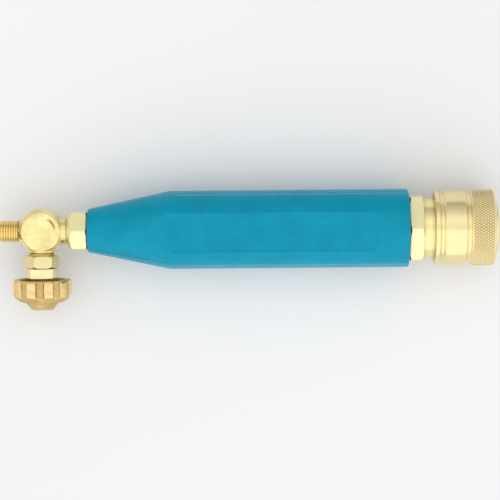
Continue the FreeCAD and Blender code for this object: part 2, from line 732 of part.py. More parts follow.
def make_fitting():
    """Hexagonal fitting between the valve outlet, the gas tube and the small end of the grip."""
    start, hex_end = -dims.outlet_stub_end_at, -dims.fitting_hex_end_at
    trim = dims.fitting_corner_radius
    shank_end = -dims.fitting_shank_end_at
    thread_bore = dims.outlet_nipple_radius + dims.solder_gap
    tube_bore = dims.tube_radius + dims.solder_gap
    edge = dims.fitting_edge
    fitting = turned(
        "tube_fitting",
        [
            (start, thread_bore),
            (start, dims.fitting_face_radius),
            (start + dims.fitting_bevel, trim - edge),
            (start + dims.fitting_bevel + edge, trim),
            (hex_end - edge, trim),
            (hex_end, trim - edge),
            (hex_end, dims.fitting_shank_radius),
            (shank_end, dims.fitting_shank_radius),
            (shank_end, tube_bore),
            (-dims.tube_start_at, tube_bore),
            (-dims.tube_start_at, dims.tube_bore_radius),
            (-dims.fitting_thread_end_at, dims.tube_bore_radius),
            (-dims.fitting_thread_end_at, thread_bore),
        ],
    )
    hexagon_cut(
        fitting, "fitting_hexagon", dims.fitting_across_flats, trim, start, hex_end - start, turn=90.0
    )
    keep(fitting)


def make_tube():
    keep(
        ring("gas_tube", dims.tube_bore_radius, dims.tube_radius, -dims.tube_start_at, -dims.tube_end_at)
    )


def make_grip():
    """Moulded grip: a cone and a round handle, hollow, with a flat thumb panel on two sides."""
    start, end = -dims.grip_start_at, -dims.grip_end_at
    edge = dims.grip_edge
    socket_end = start + dims.grip_socket_depth
    grip = turned(
        "handle_grip",
        [
            (start, dims.fitting_shank_radius + dims.slack),
            (start, dims.grip_small_radius - edge),
            (start + EASE * edge, dims.grip_small_radius - EASE * edge),
            (start + edge, dims.grip_small_radius),
            (-dims.grip_shoulder_at, dims.grip_radius),
            (end - dims.grip_end_bevel, dims.grip_radius),
            (end, dims.grip_radius - dims.grip_end_bevel),
            (end, dims.grip_cavity_radius),
            (-dims.grip_cavity_end_at, dims.grip_cavity_radius),
            (-dims.grip_cavity_end_at - dims.grip_cavity_taper, dims.grip_tube_radius),
            (socket_end, dims.grip_tube_radius),
            (socket_end, dims.fitting_shank_radius + dims.slack),
        ],
    )
    panel_start = start - dims.cut_margin
    wall_foot = -dims.flat_end_at
    beyond = dims.grip_radius + dims.cut_margin
    wall_slope = dims.flat_wall_run / (dims.grip_radius - dims.flat_height)
    wall_top = wall_foot + wall_slope * (beyond - dims.flat_height)
    for side, name in ((1, "panel_front"), (-1, "panel_back")):
        drawing = new_sketch(grip, name + "_outline", "XZ_Plane")
        draw_outline(
            drawing,
            [
                (panel_start, side * dims.flat_height),
                (wall_foot, side * dims.flat_height),
                (wall_top, side * beyond),
                (panel_start, side * beyond),
            ],
        )
        pocket_feature(grip, name, drawing, length=2 * beyond, symmetric=True)
    keep(grip)


def make_washers():
    """Fibre washer at the small end of the grip, and the rubber one under the socket's hexagon."""
    keep(
        ring(
            "fibre_washer",
            dims.washer_bore_radius,
            dims.washer_radius,
            -dims.fitting_hex_end_at,
            -dims.grip_start_at,
        )
    )
    keep(
        ring(
            "grip_cushion",
            dims.spigot_radius + dims.slack,
            dims.cushion_radius,
            -dims.grip_end_at,
            -dims.adapter_hex_at,
        )
    )


# ---- quick-connect socket -------------------------------------------------------------------------------


def make_adapter():
    """Hexagonal rear half of the socket, soldered to the gas tube and screwed into the barrel."""
    hex_at, hex_end = -dims.adapter_hex_at, -dims.adapter_hex_end_at
    trim, bevel = dims.adapter_corner_radius, dims.adapter_bevel
    tube_bore = dims.tube_radius + dims.solder_gap
    groove_back = -dims.adapter_seal_at - dims.adapter_seal_groove
    groove_front = -dims.adapter_seal_at + dims.adapter_seal_groove
    adapter = turned(
        "socket_adapter",
        [
            (-dims.spigot_end_at, tube_bore),
            (-dims.spigot_end_at, dims.spigot_radius),
            (hex_at, dims.spigot_radius),
            (hex_at, trim - bevel),
            (hex_at + bevel / 2, trim),
            (hex_end - bevel / 2, trim),
            (hex_end, trim - bevel),
            (hex_end, dims.screw_radius),
            (groove_back, dims.screw_radius),
            (groove_back, dims.adapter_seal_floor),
            (groove_front, dims.adapter_seal_floor),
            (groove_front, dims.screw_radius),
            (-dims.screw_end_at, dims.screw_radius),
            (-dims.screw_end_at, dims.pocket_radius),
            (-dims.pocket_end_at, dims.pocket_radius),
            (-dims.pocket_end_at, dims.tube_bore_radius),
            (-dims.tube_end_at, dims.tube_bore_radius),
            (-dims.tube_end_at, tube_bore),
        ],
    )
    hexagon_cut(
        adapter, "adapter_hexagon", dims.adapter_across_flats, trim, hex_at, hex_end - hex_at, turn=90.0
    )
    keep(adapter)
    seal_orbit = dims.adapter_seal_floor + dims.solder_gap + dims.adapter_seal_wire
    keep(o_ring("adapter_seal", seal_orbit, dims.adapter_seal_wire, -dims.adapter_seal_at))


def make_barrel():
    """Socket barrel: guide bore, socket, seal bore, port and poppet chamber, with holes for the balls."""
    seal_back = -dims.tip_seal_at - dims.tip_seal_groove
    seal_front = -dims.tip_seal_at + dims.tip_seal_groove
    ring_back, ring_front = -dims.ring_groove_at, dims.ring_thickness - dims.ring_groove_at
    edge = dims.nose_edge
    screw_bore = dims.screw_radius + dims.running_gap
    barrel = turned(
        "socket_barrel",
        [
            (0.0, dims.mouth_radius + dims.mouth_bevel),
            (0.0, dims.nose_radius - edge),
            (-EASE * edge, dims.nose_radius - EASE * edge),
            (-edge, dims.nose_radius),
            (ring_front, dims.nose_radius),
            (ring_front, dims.ring_groove_radius),
            (ring_back, dims.ring_groove_radius),
            (ring_back, dims.nose_radius),
            (-dims.neck_step_at, dims.nose_radius),
            (-dims.neck_step_at, dims.neck_radius),
            (-dims.adapter_hex_end_at, dims.neck_radius),
            (-dims.adapter_hex_end_at, screw_bore),
            (-dims.poppet_chamber_end_at, screw_bore),
            (-dims.poppet_chamber_end_at, dims.poppet_chamber_radius),
            (-dims.port_end_at, dims.poppet_chamber_radius),
            (-dims.port_end_at, dims.port_radius),
            (-dims.seal_bore_end_at, dims.port_radius),
            (-dims.seal_bore_end_at, dims.seal_bore_radius),
            (seal_back, dims.seal_bore_radius),
            (seal_back, dims.tip_seal_floor),
            (seal_front, dims.tip_seal_floor),
            (seal_front, dims.seal_bore_radius),
            (-dims.socket_end_at, dims.seal_bore_radius),
            (-dims.socket_end_at, dims.socket_radius),
            (-dims.mouth_end_at, dims.socket_radius),
            (-dims.mouth_end_at, dims.mouth_radius),
            (-dims.mouth_bevel, dims.mouth_radius),
        ],
    )
    for name, radius, lift in (
        ("ball_hole", dims.ball_radius + dims.ball_gap, dims.ball_ledge_at),
        ("ball_window", dims.ball_ledge_radius, dims.seal_bore_radius),
    ):
        drawing = new_sketch(barrel, name + "_outline", "XY_Plane", lift=lift)
        draw_circle(drawing, radius, -dims.ball_at)
        hole = pocket_feature(barrel, name, drawing, length=dims.nose_radius)
        repeat_feature(barrel, hole, BALLS)
    keep(barrel)


def make_balls():
    """Locking balls, the first one on top, each in its own hole."""
    for i in range(BALLS):
        ball = doc.addObject("Part::Sphere", f"lock_ball_{i + 1}")
        ball.Label = ball.Name
        bind(ball, "Radius", dims.ball_radius)
        angle = math.radians(360 * i / BALLS)
        side, up = dims.ball_orbit * -math.sin(angle), dims.ball_orbit * math.cos(angle)
        ball.Placement = Placement(Vector(-dims.ball_at.number, side.number, up.number), Rotation())
        bind(ball, "Placement.Base.x", -dims.ball_at)
        bind(ball, "Placement.Base.y", side)
        bind(ball, "Placement.Base.z", up)
        keep(ball)


def make_retaining_ring():
    """Snap ring that stops the sleeve: open over RING_OPENING degrees."""
    snap = new_body("retaining_ring")
    drawing = new_sketch(snap, "snap_outline", "XY_Plane")
    back = -dims.ring_groove_at + dims.solder_gap
    front = dims.ring_thickness - dims.ring_groove_at - dims.solder_gap
    inner = dims.ring_groove_radius + dims.solder_gap
    outer = dims.ring_radius
    draw_outline(drawing, [(back, inner), (front, inner), (front, outer), (back, outer)])
    feature = snap.newObject("PartDesign::Revolution", "snap")
    feature.Profile = drawing
    feature.ReferenceAxis = (drawing, ["H_Axis"])
    feature.Angle = 360.0 - RING_OPENING
    doc.recompute()
    keep(snap)


def finger_groove(start, start_radius, end, end_radius):
    """Outline of a rounded groove round the sleeve, from one band's edge to the next."""
    floor, run = dims.sleeve_groove_radius, dims.groove_side_run
    steep, rise = dims.groove_corner_run, dims.groove_corner_rise
    return [
        (start, start_radius),
        (start + steep, floor + rise),
        (start + run, floor),
        (end - run, floor),
        (end - steep, floor + rise),
        (end, end_radius),
    ]


def make_sleeve():
    """Sliding sleeve: finger grooves outside, guide bore, spring room and locking ramp inside."""
    # the locking ramp rises as fast as the balls move out, and clears them by ball_gap all the way
    ramp = dims.ball_travel.number / dims.sleeve_travel.number
    reach = dims.ball_orbit + dims.ball_radius * math.hypot(1.0, ramp) + dims.ball_gap
    ramp_start = (dims.land_radius - reach) / ramp - dims.ball_at
    ramp_end = reach + ramp * (dims.ball_at - dims.land_front_at)
    band, edge = dims.sleeve_band_radius, dims.sleeve_edge
    front = -dims.sleeve_front_at
    sleeve = turned(
        "coupling_sleeve",
        [
            (-dims.sleeve_start_at, dims.sleeve_mouth_radius),
            (-dims.sleeve_start_at, band - edge),
            (edge - dims.sleeve_start_at, band),
            *finger_groove(-dims.flange_end_at, band, -dims.band_start_at, band),
            *finger_groove(-dims.band_end_at, band, -dims.knurl_start_at, dims.sleeve_knurl_radius),
            (-dims.crown_at, dims.sleeve_crown_radius),
            (front, dims.sleeve_lip_radius),
            (front, dims.release_radius),
            (-dims.land_front_at, dims.release_radius),
            (-dims.land_front_at, ramp_end),
            (ramp_start, dims.land_radius),
            (-dims.land_at, dims.land_radius),
            (-dims.land_at, dims.spring_room_radius),
            (-dims.sleeve_guide_end_at, dims.spring_room_radius),
            (-dims.sleeve_guide_end_at, dims.sleeve_guide_radius),
            (-dims.sleeve_guide_start_at, dims.sleeve_guide_radius),
        ],
    )
    keep(sleeve)


def make_socket_springs():
    """The sleeve's spring, between the neck's step and the locking land, and the poppet's spring."""
    keep(
        coil_spring(
            "sleeve_spring",
            dims.sleeve_spring_orbit,
            dims.sleeve_spring_wire,
            dims.sleeve_spring_pitch,
            -dims.neck_step_at,
            -dims.land_at,
        )
    )
    keep(
        coil_spring(
            "poppet_spring",
            dims.poppet_spring_orbit,
            dims.poppet_spring_wire,
            dims.poppet_spring_pitch,
            -dims.pocket_end_at,
            -dims.poppet_back_at,
        )
    )


def make_poppet():
    """Check-valve poppet: disc with gas notches, seal groove, pin towards the tip, and spring tail."""
    seal_at = dims.port_end_at + dims.solder_gap + dims.poppet_seal_wire
    groove_floor = seal_at + dims.poppet_seal_wire + dims.solder_gap
    groove_inner = dims.poppet_seal_orbit - dims.poppet_seal_wire - dims.solder_gap
    groove_outer = dims.poppet_seal_orbit + dims.poppet_seal_wire + dims.solder_gap
    poppet = turned(
        "poppet",
        [
            (-dims.poppet_pin_at, 0.0),
            (-dims.poppet_pin_at, dims.poppet_pin_radius),
            (-dims.poppet_face_at, dims.poppet_pin_radius),
            (-dims.poppet_face_at, groove_inner),
            (-groove_floor, groove_inner),
            (-groove_floor, groove_outer),
            (-dims.poppet_face_at, groove_outer),
            (-dims.poppet_face_at, dims.poppet_radius),
            (-dims.poppet_back_at, dims.poppet_radius),
            (-dims.poppet_back_at, dims.poppet_tail_radius),
            (-dims.poppet_tail_at, dims.poppet_tail_radius),
            (-dims.poppet_tail_at, 0.0),
        ],
    )
    notch_length = dims.poppet_back_at - dims.poppet_face_at + 2 * dims.cut_margin
    notch = new_sketch(poppet, "notch_outline", "YZ_Plane", lift=-dims.poppet_back_at - dims.cut_margin)
    draw_circle(notch, dims.poppet_notch_radius, dims.poppet_radius)
    feature = pocket_feature(poppet, "notch", notch, length=notch_length)
    repeat_feature(poppet, feature, NOTCHES)
    keep(poppet)
    keep(o_ring("poppet_seal", dims.poppet_seal_orbit, dims.poppet_seal_wire, -seal_at))


def make_tip_seal():
    seal_orbit = dims.tip_seal_floor - dims.solder_gap - dims.tip_seal_wire
    keep(o_ring("tip_seal", seal_orbit, dims.tip_seal_wire, -dims.tip_seal_at))


# ---- build, check and write -----------------------------------------------------------------------------

make_valve_body()
make_bonnet()
make_packing()
make_stem()
make_knob()
make_fitting()
make_tube()
make_grip()
make_washers()
make_adapter()
make_barrel()
make_balls()
make_retaining_ring()
make_sleeve()
make_socket_springs()
make_poppet()
make_tip_seal()
doc.recompute()

for thing in doc.Objects:
    if {"Invalid", "Error"} & set(thing.State):
        raise RuntimeError(f"{thing.Label} failed to compute: {thing.State}")
for piece in parts:
    if piece.Shape.isNull() or not piece.Shape.isValid():
        raise RuntimeError(f"{piece.Label} has no valid shape")

os.makedirs("parts", exist_ok=True)
for piece in parts:
    piece.Shape.exportStep(f"parts/{piece.Label}.step")
    print(f"{piece.Label:18s} {piece.Shape.Volume:10.1f} mm3  solids {len(piece.Shape.Solids)}")
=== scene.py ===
# Looks of the gas torch handle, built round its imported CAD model. Metres, in the model's own frame:
# +X runs out of the quick-connect socket, -Y along the valve stem, and +Z is up.
import math

import bpy
import numpy as np
from mathutils import Matrix, Vector


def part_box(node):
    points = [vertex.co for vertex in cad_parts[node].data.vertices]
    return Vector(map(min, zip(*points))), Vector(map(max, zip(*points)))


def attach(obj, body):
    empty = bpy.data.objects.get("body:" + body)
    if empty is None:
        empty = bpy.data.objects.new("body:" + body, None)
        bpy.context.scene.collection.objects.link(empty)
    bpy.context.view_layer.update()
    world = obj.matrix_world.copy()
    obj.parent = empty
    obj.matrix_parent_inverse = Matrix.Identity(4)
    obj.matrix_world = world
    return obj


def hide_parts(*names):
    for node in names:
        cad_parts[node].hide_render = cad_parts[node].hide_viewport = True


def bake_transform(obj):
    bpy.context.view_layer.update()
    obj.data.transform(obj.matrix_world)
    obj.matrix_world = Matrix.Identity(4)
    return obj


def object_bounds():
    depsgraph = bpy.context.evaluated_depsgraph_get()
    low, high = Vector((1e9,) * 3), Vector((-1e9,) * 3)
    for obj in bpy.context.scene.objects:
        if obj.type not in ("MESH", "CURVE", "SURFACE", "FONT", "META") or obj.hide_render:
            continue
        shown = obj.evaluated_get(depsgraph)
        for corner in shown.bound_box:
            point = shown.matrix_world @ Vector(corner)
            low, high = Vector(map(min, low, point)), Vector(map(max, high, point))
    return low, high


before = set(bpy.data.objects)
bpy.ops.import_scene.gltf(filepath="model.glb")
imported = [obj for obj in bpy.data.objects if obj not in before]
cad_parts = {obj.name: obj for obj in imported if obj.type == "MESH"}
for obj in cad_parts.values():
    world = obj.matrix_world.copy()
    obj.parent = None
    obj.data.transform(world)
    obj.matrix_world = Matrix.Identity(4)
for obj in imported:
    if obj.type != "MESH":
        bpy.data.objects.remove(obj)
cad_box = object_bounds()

MM = 0.001


# ---- camera, floor and light -----------------------------------------------------------------------------


def add_camera():
    """Looks down on the torch, a little from beyond it, with a long lens."""
    centre = Vector((-104.65, -8.84, 0.0)) * MM
    distance = 935 * MM
    width_seen = 212.5 * MM
    tilt = math.radians(4.5)
    roll = math.radians(-0.5)
    data = bpy.data.cameras.new("camera")
    data.lens = data.sensor_width * distance / width_seen
    camera = bpy.data.objects.new("camera", data)
    bpy.context.scene.collection.objects.link(camera)
    back = Vector((0.0, math.sin(tilt), math.cos(tilt)))
    right = Vector((1.0, 0.0, 0.0))
    up = back.cross(right)
    turn = Matrix((right, up, back)).transposed() @ Matrix.Rotation(roll, 3, "Z")
    camera.matrix_world = Matrix.Translation(centre + back * distance) @ turn.to_4x4()
    bpy.context.scene.camera = camera


def add_floor():
    low = cad_box[0]
    side = 4.0
    corners = [(-side, -side), (side, -side), (side, side), (-side, side)]
    mesh = bpy.data.meshes.new("floor")
    mesh.from_pydata([(x, y, low.z) for x, y in corners], [], [(0, 1, 2, 3)])
    floor = bpy.data.objects.new("floor", mesh)
    bpy.context.scene.collection.objects.link(floor)
    floor.data.materials.append(floor_material())


# The studio is one big soft dome. Brightness by direction, in degrees round the torch's axis: 0 is
# straight up, +90 the horizon on the hand wheel's side, and -90 the horizon on the other side.
DOME = [
    (-180, 0.38), (-112, 0.36), (-86, 0.36), (-64, 0.50), (-48, 0.66), (-35, 0.86),
    (-17, 0.86), (-4, 0.74), (9, 0.99), (92, 0.99), (104, 0.76), (120, 0.55), (180, 0.40),
]
DOME_STRENGTH = 1.32


def add_dome():
    """A white surround that is brightest from overhead down to the hand wheel's side."""
    world = bpy.data.worlds.new("studio")
    world.use_nodes = True
    tree = world.node_tree
    direction = tree.nodes.new("ShaderNodeTexCoord").outputs["Generated"]
    split = tree.nodes.new("ShaderNodeSeparateXYZ")
    tree.links.new(direction, split.inputs[0])
    flip = tree.nodes.new("ShaderNodeMath")
    flip.operation = "MULTIPLY"
    flip.inputs[1].default_value = -1.0
    tree.links.new(split.outputs["Y"], flip.inputs[0])
    angle = tree.nodes.new("ShaderNodeMath")
    angle.operation = "ARCTAN2"
    tree.links.new(flip.outputs[0], angle.inputs[0])
    tree.links.new(split.outputs["Z"], angle.inputs[1])
    place = tree.nodes.new("ShaderNodeMapRange")
    place.inputs["From Min"].default_value = -math.pi
    place.inputs["From Max"].default_value = math.pi
    tree.links.new(angle.outputs[0], place.inputs["Value"])
    ramp = tree.nodes.new("ShaderNodeValToRGB")
    ramp.color_ramp.interpolation = "EASE"
    stops = ramp.color_ramp.elements
    while len(stops) < len(DOME):
        stops.new(0.5)
    for stop, (degrees, level) in zip(stops, DOME):
        stop.position = (degrees + 180) / 360
        stop.color = (level, level, level, 1.0)
    tree.links.new(place.outputs["Result"], ramp.inputs["Fac"])
    background = tree.nodes["Background"]
    tree.links.new(ramp.outputs["Color"], background.inputs["Color"])
    background.inputs["Strength"].default_value = DOME_STRENGTH
    bpy.context.scene.world = world


def add_studio():
    add_floor()
    add_dome()
    bpy.context.scene.view_settings.view_transform = "Standard"


# ---- materials -------------------------------------------------------------------------------------------


class Paint:
    """A node material being put together."""

    def __init__(self, name):
        self.material = bpy.data.materials.new(name)
        self.material.use_nodes = True
        self.tree = self.material.node_tree
        self.shader = self.tree.nodes["Principled BSDF"]
        self.place = self.tree.nodes.new("ShaderNodeTexCoord").outputs["Object"]

    def node(self, kind, **inputs):
        """A new node; each input is named with underscores, and is a value or another node's output."""
        made = self.tree.nodes.new("ShaderNode" + kind)
        for key, value in inputs.items():
            socket = made.inputs[key.replace("_", " ")]
            if isinstance(value, bpy.types.NodeSocket):
                self.tree.links.new(value, socket)
            else:
                socket.default_value = value
        return made

    def stretched(self, scale):
        """The place on the piece, scaled along X, Y and Z."""
        mapping = self.node("Mapping", Vector=self.place)
        mapping.inputs["Scale"].default_value = scale
        return mapping.outputs["Vector"]

    def noise(self, scale, detail=2.0, roughness=0.5):
        """Noise from 0 to 1 with about scale bumps a metre: one number, or one for each axis."""
        if isinstance(scale, tuple):
            made = self.node("TexNoise", Vector=self.stretched(scale), Scale=1.0)
        else:
            made = self.node("TexNoise", Vector=self.place, Scale=scale)
        made.inputs["Detail"].default_value = detail
        made.inputs["Roughness"].default_value = roughness
        return made.outputs["Fac"]

    def remap(self, value, low, high, to_low=0.0, to_high=1.0):
        """Stretches low..high of a value to to_low..to_high, held at both ends."""
        made = self.node("MapRange", Value=value)
        made.inputs["From Min"].default_value = low
        made.inputs["From Max"].default_value = high
        made.inputs["To Min"].default_value = to_low
        made.inputs["To Max"].default_value = to_high
        return made.outputs["Result"]

    def math(self, operation, a, b):
        made = self.tree.nodes.new("ShaderNodeMath")
        made.operation = operation
        for socket, value in zip(made.inputs, (a, b)):
            if isinstance(value, bpy.types.NodeSocket):
                self.tree.links.new(value, socket)
            else:
                socket.default_value = value
        return made.outputs["Value"]

    def mix(self, share, first, second):
        """Colour between first and second."""
        made = self.tree.nodes.new("ShaderNodeMix")
        made.data_type = "RGBA"
        for socket, value in ((made.inputs[0], share), (made.inputs[6], first), (made.inputs[7], second)):
            if isinstance(value, bpy.types.NodeSocket):
                self.tree.links.new(value, socket)
            elif isinstance(value, tuple):
                socket.default_value = (*value, 1.0)
            else:
                socket.default_value = value
        return made.outputs[2]

    def rounded(self, radius):
        """The surface's normal with its sharp edges rounded off."""
        bevel = self.node("Bevel", Radius=radius)
        bevel.samples = 6
        return bevel.outputs["Normal"]

    def mark(self, name="groove"):
        """A share kept on the mesh: the depth of a knurl or thread from 0 to 1, or the nearness of a seam."""
        made = self.node("Attribute")
        made.attribute_name = name
        return made.outputs["Fac"]

    def cavity(self, distance):
        """Ambient occlusion as a painted-shade mask: 1 deep in corners and grooves narrower than about
        distance, fading to 0 on open faces.
        """
        occlusion = self.node("AmbientOcclusion", Distance=distance)
        occlusion.samples = 6
        return self.remap(occlusion.outputs["AO"], 0.35, 0.95, 1.0, 0.0)

    def land(self, inner, outer):
        """1 on surfaces further than outer from the stem's axis, 0 nearer than inner."""
        shift = self.node("Mapping", Vector=self.place)
        shift.inputs["Location"].default_value = (-stem_x, 0.0, 0.0)
        shift.inputs["Scale"].default_value = (1.0, 0.0, 1.0)
        length = self.tree.nodes.new("ShaderNodeVectorMath")
        length.operation = "LENGTH"
        self.tree.links.new(shift.outputs["Vector"], length.inputs[0])
        return self.remap(length.outputs["Value"], inner, outer)

    def edges(self, radius):
        """1 on sharp outer and inner edges, fading to 0 away from them."""
        flat = self.node("NewGeometry").outputs["Normal"]
        dot = self.tree.nodes.new("ShaderNodeVectorMath")
        dot.operation = "DOT_PRODUCT"
        self.tree.links.new(self.rounded(radius), dot.inputs[0])
        self.tree.links.new(flat, dot.inputs[1])
        return self.remap(self.math("SUBTRACT", 1.0, dot.outputs["Value"]), 0.02, 0.25)

    def bump(self, height, distance, normal=None):
        made = self.node("Bump", Height=height, Distance=distance)
        if normal is not None:
            self.tree.links.new(normal, made.inputs["Normal"])
        self.tree.links.new(made.outputs["Normal"], self.shader.inputs["Normal"])

    def set(self, **inputs):
        """Sets or links the shader's own sockets."""
        for key, value in inputs.items():
            socket = self.shader.inputs[key.replace("_", " ")]
            if isinstance(value, bpy.types.NodeSocket):
                self.tree.links.new(value, socket)
            elif isinstance(value, tuple):
                socket.default_value = (*value, 1.0)
            else:
                socket.default_value = value


def floor_material():
    paint = Paint("floor_white")
    tone = paint.remap(paint.noise(3.0), 0.3, 0.7)
    paint.set(Base_Color=paint.mix(tone, (0.80, 0.80, 0.80), (0.83, 0.83, 0.83)), Roughness=0.9)
    paint.set(Specular_IOR_Level=0.1)
    return paint.material


def brass(
    name, colours, lines, grain, rough, line_height, grain_height, edge=0.18, crevice=(0.8, 0.5), groove=0.0,
    land=None,
):
    """Brass with turning marks, a fine grain, bright worn edges, and painted shade in its crevices and groove
    roots.

    colours is (clean, duller, painted shade colour for the crevices), lines the marks' noise scale for each
    axis, grain the grain's, edge the radius of the broken edges, crevice how far the painted crevice shade
    reaches and how dark it is, groove how dark the painted shade in the roots of a knurl or thread is, and
    land the colour of a wheel's outer faces.
    """
    clean, dull, crevice_shade = colours
    paint = Paint(name)
    cloud = paint.remap(paint.noise(160.0, detail=3.0), 0.35, 0.65)
    marks = paint.noise(lines, detail=3.0, roughness=0.6)
    grains = paint.noise(grain, detail=2.0)
    tone = paint.math("ADD", paint.math("MULTIPLY", cloud, 0.4), paint.math("MULTIPLY", grains, 0.6))
    body = paint.mix(tone, dull, clean)
    if edge:
        bright = tuple(min(1.0, 1.05 * c + 0.02) for c in clean)
        body = paint.mix(paint.math("MULTIPLY", paint.edges(edge * MM), 0.5), body, bright)
    if land:
        body = paint.mix(paint.land(*LAND_RADII), body, land)
    # painted shade: ambient occlusion darkens crevices, and a knurl's or thread's depth darkens its roots
    width, shade_strength = crevice
    shaded = paint.math("MULTIPLY", paint.cavity(width * MM), shade_strength)
    if groove:
        shaded = paint.math("MAXIMUM", shaded, paint.math("MULTIPLY", paint.mark(), groove))
    paint.set(Base_Color=paint.mix(shaded, body, crevice_shade), Metallic=1.0)
    paint.set(Roughness=paint.remap(paint.math("ADD", marks, grains), 0.6, 1.4, rough - 0.06, rough + 0.08))
    height = paint.math(
        "ADD", paint.math("MULTIPLY", marks, line_height), paint.math("MULTIPLY", grains, grain_height)
    )
    paint.bump(height, 1.0, paint.rounded(edge * MM) if edge else None)
    return paint.material


# The third colour of each brass set is the painted shade that crevices and groove roots are darkened towards.
CREVICE_SHADE = (0.30, 0.17, 0.05)
WRENCH = ((0.96, 0.89, 0.55), (0.90, 0.82, 0.48), CREVICE_SHADE)
BRASS = ((0.90, 0.78, 0.44), (0.82, 0.70, 0.37), CREVICE_SHADE)
NECK = ((0.95, 0.81, 0.40), (0.93, 0.78, 0.37), CREVICE_SHADE)
FORGED = ((1.0, 0.93, 0.50), (0.68, 0.52, 0.17), CREVICE_SHADE)
OLIVE = ((0.82, 0.72, 0.38), (0.74, 0.64, 0.31), CREVICE_SHADE)
THREAD = ((0.98, 0.82, 0.42), (0.92, 0.75, 0.35), (0.66, 0.46, 0.16))
CAST = ((0.74, 0.54, 0.24), (0.50, 0.35, 0.13), (0.16, 0.08, 0.02))
LAND = (0.84, 0.62, 0.30)
LAND_RADII = (11.5 * MM, 12.1 * MM)
RINGS_ROUND_X = (5200.0, 60.0, 60.0)
RINGS_ROUND_Y = (60.0, 5200.0, 60.0)
ACROSS_FACES = (500.0, 2600.0, 500.0)


def turned_brass(
    name, colours=BRASS, lines=RINGS_ROUND_X, rough=0.20, edge=0.18, crevice=(0.8, 0.5), groove=0.0
):
    return brass(name, colours, lines, 4000.0, rough, 0.004 * MM, 0.002 * MM, edge, crevice, groove)


def forged_brass(name):
    lines = (900.0, 900.0, 900.0)
    return brass(name, FORGED, lines, 1300.0, 0.32, 0.015 * MM, 0.22 * MM, 0.0, (1.8, 0.85))


def cast_brass(name):
    lines = (700.0, 700.0, 700.0)
    return brass(name, CAST, lines, 2600.0, 0.28, 0.020 * MM, 0.050 * MM, 0.0, (2.4, 1.0), land=LAND)


def teal_plastic(name):
    """Injection-moulded grip: satin, with a faint orange-peel skin, painted shade along the panel edges and
    down the cone, and a painted highlight on the parting lines.
    """
    paint = Paint(name)
    cloud = paint.noise(110.0, detail=4.0)
    speckle = paint.noise(1500.0, detail=3.0, roughness=0.7)
    skin = paint.noise(2600.0, detail=3.0)
    tone = paint.remap(paint.math("ADD", cloud, speckle), 0.75, 1.25)
    teal = paint.mix(tone, (0.000, 0.246, 0.375), (0.002, 0.296, 0.434))
    # painted shade: darker lines along the panels' long edges and one line down the cone
    shaded = paint.mix(paint.math("MULTIPLY", paint.mark(), 0.5), teal, (0.000, 0.13, 0.21))
    # painted highlight: a paler colour along the parting-line ridges
    seam_highlight = paint.math("MULTIPLY", paint.mark("seam"), 0.6)
    paint.set(Base_Color=paint.mix(seam_highlight, shaded, (0.10, 0.36, 0.48)))
    paint.set(Roughness=paint.remap(skin, 0.35, 0.65, 0.20, 0.30))
    paint.set(Specular_IOR_Level=0.12)
    paint.bump(paint.math("MULTIPLY", skin, 0.010 * MM), 1.0)
    return paint.material


def plain_solid(name, colour, other, rough, metallic=0.0, grain=2500.0, height=0.008 * MM):
    """Steel, copper, rubber, fibre or PTFE: two near tones mottled together, with a fine skin."""
    paint = Paint(name)
    cloud = paint.remap(paint.noise(400.0, detail=4.0), 0.3, 0.7)
    skin = paint.noise(grain, detail=3.0)
    paint.set(Base_Color=paint.mix(cloud, colour, other), Metallic=metallic)
    paint.set(Roughness=paint.remap(skin, 0.3, 0.7, rough - 0.05, rough + 0.05))
    paint.bump(paint.math("MULTIPLY", skin, height), 1.0)
    return paint.material


def make_materials():
    return {
        "forged_brass": forged_brass("forged_brass"),
        "thread_brass": turned_brass("thread_brass", THREAD, edge=0.0, crevice=(0.6, 0.3), groove=0.6),
        "turned_brass": turned_brass("turned_brass"),
        "sleeve_brass": turned_brass("sleeve_brass", edge=0.0, crevice=(0.6, 0.6), groove=0.6),
        "neck_brass": turned_brass("neck_brass", NECK, rough=0.24, crevice=(2.5, 0.6)),
        "wrench_brass": turned_brass("wrench_brass", WRENCH, ACROSS_FACES, 0.52),
        "bonnet_brass": turned_brass("bonnet_brass", OLIVE, RINGS_ROUND_Y, 0.26),
        "stem_brass": turned_brass("stem_brass", lines=RINGS_ROUND_Y),
        "cast_brass": cast_brass("cast_brass"),
        "teal_plastic": teal_plastic("teal_plastic"),
        "black_rubber": plain_solid("black_rubber", (0.012, 0.012, 0.012), (0.02, 0.02, 0.02), 0.55),
        "steel": plain_solid("steel", (0.55, 0.55, 0.57), (0.66, 0.66, 0.68), 0.22, 1.0, 6000.0, 0.001 * MM),
        "copper": plain_solid("copper", (0.52, 0.33, 0.09), (0.62, 0.42, 0.13), 0.35, 1.0),
        "ptfe": plain_solid("ptfe", (0.82, 0.82, 0.80), (0.88, 0.88, 0.86), 0.4),
        "fibre": plain_solid("fibre", (0.05, 0.02, 0.012), (0.09, 0.035, 0.02), 0.8),
    }


def paint_piece(piece, material):
    piece.data.materials.clear()
    piece.data.materials.append(material)


NODE_MATERIALS = {
    "bonnet": "bonnet_brass",
    "bonnet_gasket": "copper",
    "stem_packing": "ptfe",
    "gland_washer": "stem_brass",
    "packing_nut": "stem_brass",
    "valve_stem": "stem_brass",
    "tube_fitting": "wrench_brass",
    "gas_tube": "turned_brass",
    "fibre_washer": "fibre",
    "grip_cushion": "black_rubber",
    "socket_adapter": "wrench_brass",
    "adapter_seal": "black_rubber",
    "socket_barrel": "neck_brass",
    "poppet": "turned_brass",
    "poppet_seal": "black_rubber",
    "tip_seal": "black_rubber",
}


def paint_nodes():
    """Gives every CAD node that stays its material; needle, locking balls and snap ring are steel."""
    for name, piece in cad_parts.items():
        paint_piece(piece, materials[NODE_MATERIALS.get(name, "steel")])


